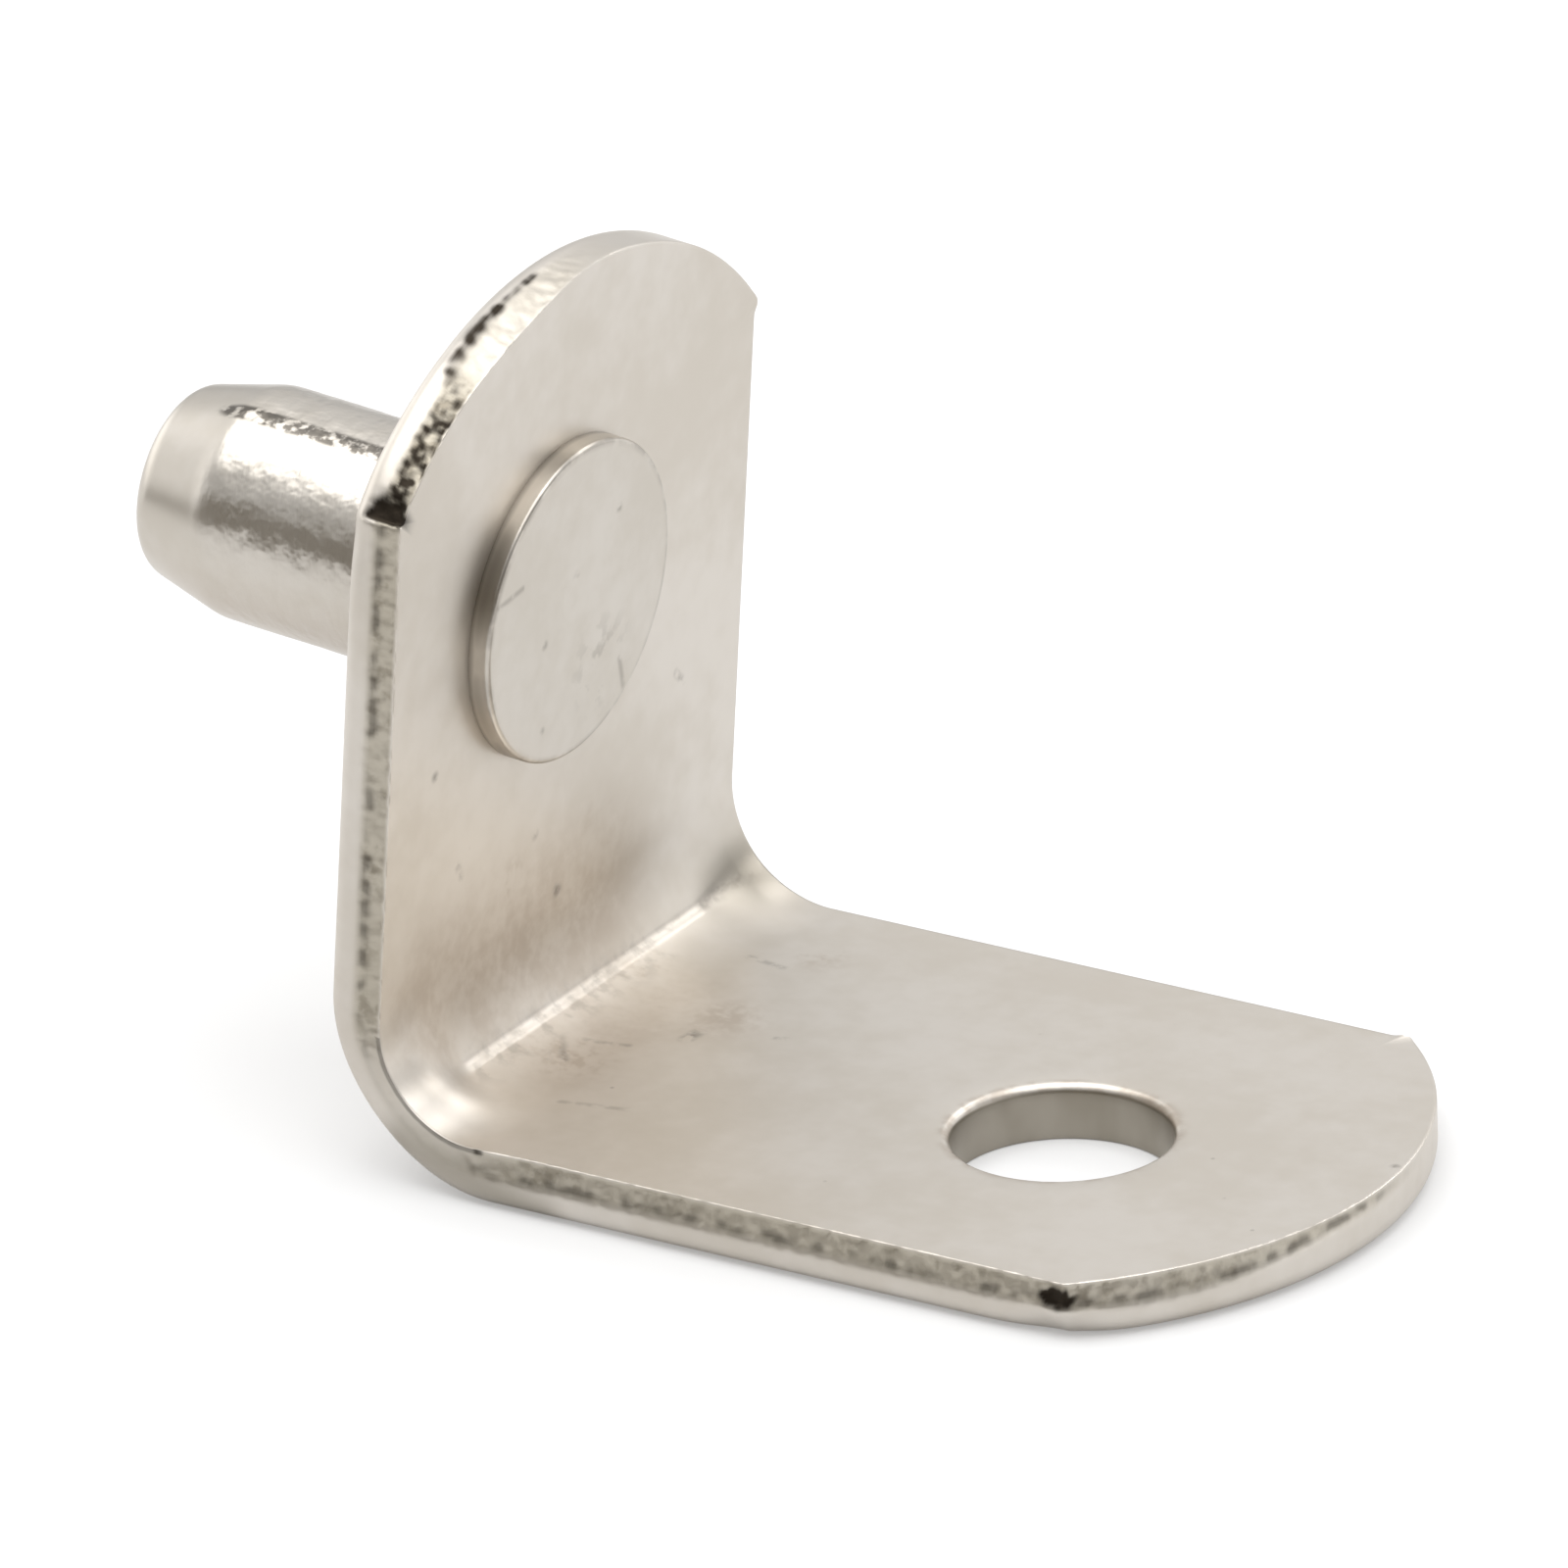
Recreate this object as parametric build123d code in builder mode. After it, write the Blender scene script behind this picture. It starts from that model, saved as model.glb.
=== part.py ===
from build123d import *
from math import cos, radians, sin
import os

os.makedirs("parts", exist_ok=True)

# Bracket-style shelf support for a 5 mm system hole, in nickel-plated steel.
# A flat strip is parted off with arc ends, pierced and bent into an L.
# A pin stands out behind the upright: its shoulder seats on the back face, and its
# tenon goes through and is riveted into a low flat head on the shelf side.
#
# Millimetres and degrees. +Z is up, and the part stands on its shelf leg.
# The origin is on the pin's axis at the back face of the upright.
# +X runs out under the shelf, and Y runs across the strip.

# Strip
STRIP_WIDTH = 13.5
STRIP_THICKNESS = 1.2
UPRIGHT_LENGTH = 17.8     # outer corner to the crown of the upright's arc end
SHELF_LEG_LENGTH = 20.7   # outer corner to the crown of the shelf leg's arc end
END_CROWN = 3.15          # rise of each arc end above its two corners
ROLLOVER = 0.4            # rounded edge that the blanking punch leaves on the outer skin

# Bend
BEND_ANGLE = 85.0         # between the two legs, a little less than square
BEND_INSIDE = 2.2         # inside radius
HEEL_STRETCH = 0.3        # the heel is stretched thin, so its radius is this much larger

# Pierced features
PUNCH_OFFSET = 0.4        # pin and screw hole sit this far to the -Y side of the strip's middle
SCREW_HOLE_DIAMETER = 4.5
SCREW_HOLE_REACH = 13.65  # outer corner to the hole's axis, along the shelf leg
SCREW_HOLE_LIP = 0.2      # rounded upper rim of the screw hole

# Pin
PIN_DIAMETER = 4.9
PIN_LENGTH = 7.8          # behind the upright, taper included
PIN_HEIGHT = 10.7         # outer corner to the pin's axis, along the upright
PIN_TAPER_LENGTH = 1.9
PIN_TIP_DIAMETER = 3.9
PIN_TIP_ROUND = 0.5
PIN_SHOULDER_ROUND = 1.5
TENON_DIAMETER = 4.0      # thinner stretch of the pin inside the upright
TENON_CLEARANCE = 0.02    # radial, between the tenon and its hole
HEAD_DIAMETER = 6.8
HEAD_THICKNESS = 0.48
HEAD_EDGE_ROUND = 0.1

# Directions and places that follow from the sizes
lean = radians(90 - BEND_ANGLE)
along_upright = Vector(sin(lean), 0, cos(lean))
out_of_upright = Vector(cos(lean), 0, -sin(lean))
half_width = STRIP_WIDTH / 2
heel_radius = BEND_INSIDE + STRIP_THICKNESS + HEEL_STRETCH

# Corners of the strip's side view, before the bend is rounded
outer_corner = along_upright * -PIN_HEIGHT
upright_crown = outer_corner + along_upright * UPRIGHT_LENGTH
shelf_crown = outer_corner + Vector(SHELF_LEG_LENGTH, 0, 0)
inner_rise = STRIP_THICKNESS * (1 + sin(lean)) / cos(lean)
inner_corner = outer_corner + out_of_upright * STRIP_THICKNESS + along_upright * inner_rise

# Each leg's outer skin, with x along the leg and the plane's normal into the metal
strip_corner = outer_corner + Vector(0, PUNCH_OFFSET, 0)
upright_skin = Plane(origin=strip_corner, x_dir=along_upright, z_dir=out_of_upright)
shelf_leg_skin = Plane(origin=strip_corner, x_dir=(1, 0, 0), z_dir=(0, 0, 1))

# Side view of the strip: x is world X and y is world Z
side_view = Plane(origin=(0, PUNCH_OFFSET, 0), x_dir=(1, 0, 0), z_dir=(0, -1, 0))


def in_side_view(point):
    return (point.X, point.Z)


with BuildPart() as bracket:
    # The bent strip, cut square at both crowns
    with BuildSketch(side_view):
        with BuildLine():
            back_and_underside = FilletPolyline(
                in_side_view(upright_crown),
                in_side_view(outer_corner),
                in_side_view(shelf_crown),
                radius=heel_radius,
            )
            seat_and_front = FilletPolyline(
                in_side_view(upright_crown + out_of_upright * STRIP_THICKNESS),
                in_side_view(inner_corner),
                in_side_view(shelf_crown + Vector(0, 0, STRIP_THICKNESS)),
                radius=BEND_INSIDE,
            )
            Line(back_and_underside @ 0, seat_and_front @ 0)
            Line(back_and_underside @ 1, seat_and_front @ 1)
        make_face()
    extrude(amount=half_width, both=True)

    # Arc ends with two sharp corners: the parting punch takes off all that lies beyond
    for skin, leg_length in ((upright_skin, UPRIGHT_LENGTH), (shelf_leg_skin, SHELF_LEG_LENGTH)):
        shoulder = leg_length - END_CROWN
        beyond = leg_length + END_CROWN
        outside = half_width + END_CROWN
        with BuildSketch(skin):
            with BuildLine():
                ThreePointArc((shoulder, -half_width), (leg_length, 0), (shoulder, half_width))
                Polyline(
                    (shoulder, half_width),
                    (shoulder, outside),
                    (beyond, outside),
                    (beyond, -outside),
                    (shoulder, -outside),
                    (shoulder, -half_width),
                )
            make_face()
        extrude(amount=STRIP_THICKNESS, both=True, mode=Mode.SUBTRACT)

    # Rollover all along the outer skin's edge: both sides and both arcs
    def on_outer_skin(edge):
        points = [edge @ share for share in (0, 0.5, 1)]
        near = [side_view.to_local_coords(point) for point in points]
        return all(
            back_and_underside.distance_to(Vertex(point.X, point.Y, 0)) < 0.001 for point in near
        )

    skin_edges = bracket.edges().filter_by(on_outer_skin)
    seams = skin_edges.filter_by(Axis.Y)
    fillet([edge for edge in skin_edges if edge not in seams], radius=ROLLOVER)

    # Hole for the pin's tenon, square to the upright
    with BuildSketch(Plane(origin=(0, 0, 0), z_dir=out_of_upright)):
        Circle(TENON_DIAMETER / 2 + TENON_CLEARANCE)
    extrude(amount=STRIP_THICKNESS, mode=Mode.SUBTRACT)

    # Screw hole through the shelf leg, pierced from above
    with BuildSketch(Plane.XY.offset(outer_corner.Z)):
        with Locations((outer_corner.X + SCREW_HOLE_REACH, 0)):
            Circle(SCREW_HOLE_DIAMETER / 2)
    extrude(amount=STRIP_THICKNESS, mode=Mode.SUBTRACT)
    rims = bracket.edges().filter_by(GeomType.CIRCLE).filter_by(
        lambda edge: abs(edge.radius - SCREW_HOLE_DIAMETER / 2) < 0.001 and edge.is_closed
    )
    fillet(rims.sort_by(Axis.Z)[-1], radius=SCREW_HOLE_LIP)

bracket.part.label = "bracket"

with BuildPart() as pin:
    # Half section: x runs out behind the upright, y is the radius
    with BuildSketch(Plane(origin=(0, 0, 0), x_dir=-out_of_upright, z_dir=(0, -1, 0))) as section:
        with BuildLine():
            Polyline(
                (-STRIP_THICKNESS - HEAD_THICKNESS, 0),
                (-STRIP_THICKNESS - HEAD_THICKNESS, HEAD_DIAMETER / 2),
                (-STRIP_THICKNESS, HEAD_DIAMETER / 2),
                (-STRIP_THICKNESS, TENON_DIAMETER / 2),
                (0, TENON_DIAMETER / 2),
                (0, PIN_DIAMETER / 2),
                (PIN_LENGTH - PIN_TAPER_LENGTH, PIN_DIAMETER / 2),
                (PIN_LENGTH, PIN_TIP_DIAMETER / 2),
                (PIN_LENGTH, 0),
                close=True,
            )
        make_face()

        def corner(along, radius):
            return section.vertices().sort_by_distance((along, radius))[0]

        fillet(corner(-STRIP_THICKNESS - HEAD_THICKNESS, HEAD_DIAMETER / 2), radius=HEAD_EDGE_ROUND)
        fillet(corner(PIN_LENGTH - PIN_TAPER_LENGTH, PIN_DIAMETER / 2), radius=PIN_SHOULDER_ROUND)
        fillet(corner(PIN_LENGTH, PIN_TIP_DIAMETER / 2), radius=PIN_TIP_ROUND)
    revolve(axis=Axis((0, 0, 0), out_of_upright))

pin.part.label = "pin"

export_step(bracket.part, "parts/bracket.step")
export_step(pin.part, "parts/pin.step")
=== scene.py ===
# %% [markdown]
# A shelf support pin: a plated steel strip bent into an L, with a plated pin riveted through
# its upright. The pin goes into a hole in the cabinet's side and the shelf rests on the leg.
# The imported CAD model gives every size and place, so it is loaded first and never moved.
# Everything below is in metres, in the CAD model's own frame.

# %% Load the frame
import math
import bpy
from mathutils import Matrix, Vector, noise
from mathutils.geometry import delaunay_2d_cdt


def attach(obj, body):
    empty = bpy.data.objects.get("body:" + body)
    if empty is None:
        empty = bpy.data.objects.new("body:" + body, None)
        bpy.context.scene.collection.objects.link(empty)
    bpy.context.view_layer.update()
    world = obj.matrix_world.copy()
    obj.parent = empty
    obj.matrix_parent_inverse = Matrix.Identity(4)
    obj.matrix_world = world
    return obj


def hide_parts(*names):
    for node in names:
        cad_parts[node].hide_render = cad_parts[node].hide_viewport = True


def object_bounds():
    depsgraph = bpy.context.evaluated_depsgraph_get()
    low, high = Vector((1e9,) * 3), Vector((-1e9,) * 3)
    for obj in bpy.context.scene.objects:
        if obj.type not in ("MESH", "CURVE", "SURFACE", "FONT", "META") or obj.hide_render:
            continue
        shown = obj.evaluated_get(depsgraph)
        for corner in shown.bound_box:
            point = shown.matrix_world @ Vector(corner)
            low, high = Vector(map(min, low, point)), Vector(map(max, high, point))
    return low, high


MM = 0.001
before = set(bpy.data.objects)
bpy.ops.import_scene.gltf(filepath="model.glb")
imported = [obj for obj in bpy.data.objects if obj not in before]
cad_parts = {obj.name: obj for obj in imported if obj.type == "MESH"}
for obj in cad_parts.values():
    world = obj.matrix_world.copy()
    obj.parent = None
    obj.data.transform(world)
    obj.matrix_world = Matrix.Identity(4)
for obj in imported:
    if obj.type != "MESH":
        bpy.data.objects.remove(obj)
cad_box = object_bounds()
print("CAD box in mm:", [[round(v / MM, 2) for v in corner] for corner in cad_box])

# %% [markdown]
# The sizes are those of the CAD part: a strip 13.5 mm wide and 1.2 mm thick, bent to 85
# degrees. The origin is on the pin's axis at the back face of the upright, so the strip's
# outer corner lies 10.7 mm down the leaning upright.

# %% Sizes of the strip and the pin
WIDTH, METAL = 13.5 * MM, 1.2 * MM
SIDE_SHIFT = 0.4 * MM  # the strip's middle lies this far from the pin's axis
UPRIGHT, LEG = 17.8 * MM, 20.7 * MM
CROWN = 3.15 * MM
LEAN = math.radians(5.0)
PIN_HEIGHT = 10.7 * MM
HOLE_REACH, HOLE_RADIUS, HOLE_LIP = 13.65 * MM, 2.25 * MM, 0.2 * MM
PIN_RADIUS, PIN_LENGTH = 2.45 * MM, 7.8 * MM
HEAD_RADIUS, HEAD_THICKNESS, TENON_RADIUS = 3.4 * MM, 0.48 * MM, 2.0 * MM

up_leg = Vector((math.sin(LEAN), 0.0, math.cos(LEAN)))  # up along the upright
out_leg = Vector((math.cos(LEAN), 0.0, -math.sin(LEAN)))  # out of the upright, to the shelf
heel_corner = up_leg * -PIN_HEIGHT
inner_rise = METAL * (1 + math.sin(LEAN)) / math.cos(LEAN)
inner_corner = heel_corner + out_leg * METAL + up_leg * inner_rise
print("inner corner in mm:", [round(v / MM, 3) for v in inner_corner])

# %% [markdown]
# The camera was fitted to the photo's outlines: a long lens from the front right and above.

# %% Camera
yaw, pitch, roll = math.radians(32.64), math.radians(23.837), math.radians(-1.918)
back = Vector((
    math.sin(yaw) * math.cos(pitch),
    -math.cos(yaw) * math.cos(pitch),
    math.sin(pitch),
))
level_right = Vector((math.cos(yaw), math.sin(yaw), 0.0))
level_up = back.cross(level_right)
right = level_right * math.cos(roll) + level_up * math.sin(roll)
up = level_up * math.cos(roll) - level_right * math.sin(roll)
camera_data = bpy.data.cameras.new("photo_camera")
camera_data.sensor_width = 36.0
camera_data.lens = 676.7
camera = bpy.data.objects.new("photo_camera", camera_data)
turn = Matrix((right, up, back)).transposed().to_4x4()
camera.matrix_world = Matrix.Translation((0.297417, -0.454353, 0.235223)) @ turn
bpy.context.scene.collection.objects.link(camera)
bpy.context.scene.camera = camera

# %% [markdown]
# Small helpers. `Number` lets a rule in a node tree be written as arithmetic: each sum or
# product adds one Math node. `new_tree` makes a tree with named inputs, and `make_plain` runs
# the tree on an object and keeps the result as a plain, smooth mesh without the modifier.


# %% Helpers for node trees
class Number:
    """A number in a node tree, so that a rule reads as arithmetic."""

    def __init__(self, tree, socket):
        self.tree, self.socket = tree, socket

    def math(self, operation, *others):
        values = dict(enumerate((self,) + others))
        node = add_node(self.tree, "ShaderNodeMath", values, operation=operation)
        return Number(self.tree, node.outputs[0])

    def __add__(self, other):
        return self.math("ADD", other)

    def __sub__(self, other):
        return self.math("SUBTRACT", other)

    def __mul__(self, other):
        return self.math("MULTIPLY", other)

    def __truediv__(self, other):
        return self.math("DIVIDE", other)

    def __rsub__(self, other):
        return self.math("MULTIPLY", -1.0).math("ADD", other)

    __radd__, __rmul__ = __add__, __mul__

    def sin(self):
        return self.math("SINE")

    def cos(self):
        return self.math("COSINE")

    def clamp(self, low=0.0, high=1.0):
        return self.math("MAXIMUM", low).math("MINIMUM", high)

    def smooth(self):
        """0 to 1 with a gentle start and end."""
        t = self.clamp()
        return t * t * (3.0 - 2.0 * t)

    def mix(self, other, share):
        return self + (other - self) * share


def add_node(tree, kind, values, **settings):
    """Adds a node; each value is a number or socket made in the tree, or a fixed value."""
    node = tree.nodes.new(kind)
    for name, setting in settings.items():
        setattr(node, name, setting)
    for label, value in values.items():
        value = value.socket if isinstance(value, Number) else value
        if isinstance(value, bpy.types.NodeSocket):
            tree.links.new(value, node.inputs[label])
        else:
            node.inputs[label].default_value = value
    return node


def new_tree(name, labels):
    """A tree whose inputs are a geometry and these named values."""
    tree = bpy.data.node_groups.new(name, "GeometryNodeTree")
    tree.interface.new_socket("Geometry", in_out="INPUT", socket_type="NodeSocketGeometry")
    for label in labels:
        kind = {"Segments": "Int", "Metal": "Material"}.get(label, "Float")
        tree.interface.new_socket(label, in_out="INPUT", socket_type="NodeSocket" + kind)
    tree.interface.new_socket("Geometry", in_out="OUTPUT", socket_type="NodeSocketGeometry")
    entry = tree.nodes.new("NodeGroupInput")
    values = {label: Number(tree, entry.outputs[label]) for label in labels}
    return tree, entry.outputs["Geometry"], values


def finish_tree(tree, geometry, metal):
    """Ends a tree in Realize Instances and Set Material."""
    realize = add_node(tree, "GeometryNodeRealizeInstances", {"Geometry": geometry})
    paint = add_node(tree, "GeometryNodeSetMaterial", {
        "Geometry": realize.outputs["Geometry"], "Material": metal})
    add_node(tree, "NodeGroupOutput", {"Geometry": paint.outputs["Geometry"]})


def split_up(tree, vector):
    """The three numbers of a vector."""
    node = add_node(tree, "ShaderNodeSeparateXYZ", {0: vector})
    return [Number(tree, socket) for socket in node.outputs]


def coordinates(tree):
    return split_up(tree, tree.nodes.new("GeometryNodeInputPosition").outputs[0])


def attribute(tree, name, kind="FLOAT"):
    node = add_node(tree, "GeometryNodeInputNamedAttribute", {"Name": name}, data_type=kind)
    return Number(tree, node.outputs["Attribute"])


def set_position(tree, geometry, x, y, z):
    place = add_node(tree, "ShaderNodeCombineXYZ", {0: x, 1: y, 2: z})
    move = add_node(tree, "GeometryNodeSetPosition", {
        "Geometry": geometry, "Position": place.outputs[0]})
    return move.outputs["Geometry"]


def push_along(tree, geometry, direction, amount):
    """Moves each point by an amount along a direction."""
    push = add_node(tree, "ShaderNodeVectorMath", {0: direction, "Scale": amount},
                    operation="SCALE")
    move = add_node(tree, "GeometryNodeSetPosition", {
        "Geometry": geometry, "Offset": push.outputs[0]})
    return move.outputs["Geometry"]


def speckle(tree, grain, seed):
    """Noise from -1 to 1, with a fixed seed, at so many grains to the metre."""
    node = add_node(tree, "ShaderNodeTexNoise", {"Detail": 2.0, "Scale": grain, "W": seed},
                    noise_dimensions="4D")
    return (Number(tree, node.outputs[0]) - 0.5) * 2.0


SHARP_ANGLE = math.radians(40)  # edges that turn more than this stay sharp


def make_plain(piece, tree, settings):
    """Runs a tree on an object and keeps the result as its plain mesh."""
    modifier = piece.modifiers.new("rule", "NODES")
    modifier.node_group = tree
    for item in tree.interface.items_tree:
        if item.in_out == "INPUT" and item.name in settings:
            modifier[item.identifier] = settings[item.name]
    bpy.context.view_layer.update()
    ready = piece.evaluated_get(bpy.context.evaluated_depsgraph_get())
    mesh = bpy.data.meshes.new_from_object(ready)
    piece.modifiers.clear()
    old, piece.data = piece.data, mesh
    mesh.name = piece.name
    bpy.data.meshes.remove(old)
    mesh.polygons.foreach_set("use_smooth", [True] * len(mesh.polygons))
    mesh.set_sharp_from_angle(angle=SHARP_ANGLE)
    print(piece.name, len(mesh.vertices), "points,", len(mesh.polygons), "faces")


def add_object(name, mesh):
    piece = bpy.data.objects.new(name, mesh)
    bpy.context.scene.collection.objects.link(piece)
    return piece


# %% [markdown]
# The strip is parted off a coil by a punch, and its edge keeps the marks of that: the outer
# side is drawn down into a rounded shoulder, then comes a smooth sheared band, and next to the
# inner face the metal has torn and is rough. The blank is built flat, as the press makes it:
# x runs along the strip from the middle of the bend, y across it and z down into the metal.

# %% Outline of the flat blank
BEND_HALF = 2.8 * MM  # half of the blank's length that bends
FOOT_OUTSIDE = BEND_HALF + inner_rise  # outer corner to where the straight legs start
STEP = 0.055 * MM  # spacing of the points along the edge
NOSE = 0.45 * MM  # the four corners are this round
end_radius = ((WIDTH / 2) ** 2 + CROWN ** 2) / (2 * CROWN)
upright_end = -(BEND_HALF + UPRIGHT - FOOT_OUTSIDE)
leg_end = BEND_HALF + LEG - FOOT_OUTSIDE
core_half = WIDTH / 2 - NOSE
core_radius = end_radius - NOSE
arc_half_angle = math.asin(core_half / core_radius)
corner_x = {
    "leg": leg_end - end_radius + core_radius * math.cos(arc_half_angle),
    "upright": upright_end + end_radius - core_radius * math.cos(arc_half_angle),
}


def outline_of_blank():
    """Points of a core line and the direction out of the metal there, all round."""
    side_from, side_to = corner_x["upright"], corner_x["leg"]
    side_steps = round((side_to - side_from) / STEP)
    fan = math.pi / 2 - arc_half_angle
    fan_steps = max(3, round(fan * NOSE / STEP))
    arc_steps = round(2 * arc_half_angle * end_radius / STEP)
    points = [(side_from + (side_to - side_from) * k / side_steps, -core_half, 0.0, -1.0)
              for k in range(side_steps)]
    for centre, corner, start, sign in (
            (leg_end - end_radius, side_to, -math.pi / 2, 1),
            (upright_end + end_radius, side_from, math.pi / 2, -1)):
        turns = [start + fan * k / fan_steps for k in range(fan_steps)]
        points += [(corner, -sign * core_half, math.cos(t), math.sin(t)) for t in turns]
        turns = [start + fan + 2 * arc_half_angle * k / arc_steps for k in range(arc_steps + 1)]
        points += [(centre + core_radius * math.cos(t), core_radius * math.sin(t),
                    math.cos(t), math.sin(t)) for t in turns]
        turns = [start + math.pi - fan + fan * k / fan_steps for k in range(1, fan_steps + 1)]
        points += [(corner, sign * core_half, math.cos(t), math.sin(t)) for t in turns]
        if sign > 0:
            points += [(side_to + (side_from - side_to) * k / side_steps, core_half, 0.0, 1.0)
                       for k in range(1, side_steps)]
    return points[:-1]


outline = outline_of_blank()
print("outline points:", len(outline))

# %% [markdown]
# The edge is a stack of rows, each a copy of the outline, so the torn band is real relief. A
# row holds its depth, how far it lies inside the outline, and how much of the torn band it
# takes. The screw hole is a stack too: its rows hold a depth and how much wider they are.

# %% Depth rows of the edge and of the screw hole
ROLLOVER = 0.4 * MM
RIM_BREAK, RIM_WIDTH = 0.03 * MM, 0.05 * MM  # the rim, and a narrow flat row behind it
edge_rows = [
    (0.0, RIM_BREAK + RIM_WIDTH, 0.0), (0.0, RIM_BREAK, 0.0),
    (0.012 * MM, 0.010 * MM, 0.2), (0.04 * MM, 0.0, 0.6),
]
edge_rows += [(d * MM, 0.0, 1.0)
              for d in (0.09, 0.15, 0.21, 0.27, 0.33, 0.39, 0.46, 0.53, 0.60, 0.67, 0.74)]
turns = [math.radians(degrees) for degrees in (0, 13, 26, 39, 52, 65, 78, 90)]
edge_rows += [(METAL - ROLLOVER + ROLLOVER * math.sin(t), ROLLOVER * (1 - math.cos(t)), 0.0)
              for t in turns]
turns = [math.radians(degrees) for degrees in range(0, 91, 15)]
hole_rows = [(HOLE_LIP * (1 - math.cos(t)), HOLE_LIP * (1 - math.sin(t))) for t in turns]
hole_rows += [(d * MM, 0.0) for d in (0.35, 0.5, 0.65, 0.8, 0.95, 1.08)]
hole_rows += [(1.17 * MM, 0.006 * MM), (METAL, 0.035 * MM)]
print("rows down the edge:", len(edge_rows), "and down the screw hole:", len(hole_rows))

# %% [markdown]
# The torn band is roughest on the arc over the pin, fades along the leg's arc, and is faint in
# the bend and on the far side. These rules take a place in mm and say how deep the band
# reaches, how torn it is, and how far it slopes back towards the inner face.


# %% Rules of the torn band
def ramp(value, low, high):
    """0 up to low, 1 from high on, with a gentle start and end."""
    share = min(max((value - low) / (high - low), 0.0), 1.0)
    return share * share * (3 - 2 * share)


def bell(away):
    """1 at zero, fading to nothing on both sides."""
    return math.exp(-away * away)


def edge_part(dx, dy):
    """Which stretch of the edge faces this way."""
    if dx < -0.3:
        return "upright arc"
    if dx > 0.3:
        return "leg arc"
    return "far side" if dy > 0 else "near side"


TORN_REACH = 0.54  # mm down from the inner face


def torn_reach(part, y):
    if part == "upright arc":
        return TORN_REACH + 0.16 * ramp(y, -4.6, -3.4)
    if part == "leg arc":
        return TORN_REACH - 0.26 * ramp(y, -5.0, -1.0)
    return TORN_REACH


def torn_amount(part, x, y, depth):
    """How torn the edge is, from 0 to 1; the band's lower border is 0.22 mm wide."""
    if part == "upright arc":
        strength = 0.45 + 0.55 * ramp(-y, 2.8, 4.6)
        strength *= 1 - ramp(y, -0.6, 1.2)
    elif part == "leg arc":
        strength = 0.75 - 0.75 * ramp(y, -2.0, 3.0)
    elif part == "far side":
        strength = 0.15
    else:
        strength = 0.2 + 0.62 * ramp(abs(x - 0.4), 1.4, 3.0)
    return strength * ramp(torn_reach(part, y) - depth, -0.11, 0.11)


def torn_slope(part, x, y, depth):
    """How many mm the band lies back, which is most at the inner face."""
    if part == "upright arc":
        most = (0.12 + 0.10 * ramp(y, -5.0, -3.0)) * (1 - ramp(y, -2.2, 0.6))
    elif part == "leg arc":
        most = 0.16 * (1 - ramp(y, -5.5, 1.5))
    elif part == "far side":
        most = 0.0
    else:
        most = 0.06 + 0.08 * ramp(abs(x - 0.4), 1.2, 3.4)
    return most * max(0.0, 1.0 - depth / torn_reach(part, y))


edge_parts = [edge_part(dx, dy) for _, _, dx, dy in outline]
print("points on each part:", {part: edge_parts.count(part) for part in sorted(set(edge_parts))})

# %% Points and faces of the edge
TORN_BACK = 0.015 * MM  # the torn band lies at least this far back
points, torn, faces = [], [], []


def add_ring(places, depth, amounts=None):
    """Adds one closed row of points and returns their numbers."""
    first = len(points)
    points.extend((x, y, depth) for x, y in places)
    torn.extend(amounts or [0.0] * len(places))
    return list(range(first, len(points)))


def join_rings(a, b, flip=False):
    count = len(a)
    for k in range(count):
        quad = (a[k], a[(k + 1) % count], b[(k + 1) % count], b[k])
        faces.append(quad[::-1] if flip else quad)


rim = []
for depth, inset, share in edge_rows:
    amounts = [share * torn_amount(part, x / MM, y / MM, depth / MM)
               for part, (x, y, _, _) in zip(edge_parts, outline)]
    places = []
    for (x, y, dx, dy), amount in zip(outline, amounts):
        out = NOSE - inset - TORN_BACK * amount
        places.append((x + out * dx, y + out * dy))
    rim.append(add_ring(places, depth, amounts))
for a, b in zip(rim, rim[1:]):
    join_rings(a, b, flip=True)
print("points on the edge:", len(points))

# %% [markdown]
# The leg's screw hole has a rounded lip at the inner face. The hole in the upright is plain,
# because the pin's riveted tenon fills it.

# %% Walls of the two holes
TENON_HOLE = TENON_RADIUS + 0.02 * MM
BORE_POINTS, TENON_POINTS = 200, 72
hole_centre = (BEND_HALF + HOLE_REACH - FOOT_OUTSIDE, -SIDE_SHIFT)
tenon_centre = (-(BEND_HALF + PIN_HEIGHT - FOOT_OUTSIDE), -SIDE_SHIFT)


def circle(centre, radius, count):
    turns = [k * (2 * math.pi / count) for k in range(count)]
    return [(centre[0] + radius * math.cos(t), centre[1] + radius * math.sin(t)) for t in turns]


bore = [add_ring(circle(hole_centre, HOLE_RADIUS + grow, BORE_POINTS), depth)
        for depth, grow in hole_rows]
for a, b in zip(bore, bore[1:]):
    join_rings(a, b)
tenon = [add_ring(circle(tenon_centre, TENON_HOLE, TENON_POINTS), depth) for depth in (0.0, METAL)]
join_rings(tenon[0], tenon[1])
print("screw hole from the bend in mm:", round(hole_centre[0] / MM, 2))

# %% [markdown]
# Two flat skins close the blank: a grid of points, close together where the strip bends, and
# triangles between the edge and the holes.


# %% Inner and outer skin
def room_left(x, y):
    """Distance from a place on the blank to the nearest edge or hole."""
    room = WIDTH / 2 - abs(y)
    for centre, beyond in ((leg_end - end_radius, 1), (upright_end + end_radius, -1)):
        if (x - centre) * beyond > 0:
            room = min(room, end_radius - math.hypot(x - centre, y))
    room = min(room, math.hypot(x - hole_centre[0], y - hole_centre[1]) - HOLE_RADIUS)
    return min(room, math.hypot(x - tenon_centre[0], y - tenon_centre[1]) - TENON_HOLE)


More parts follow.
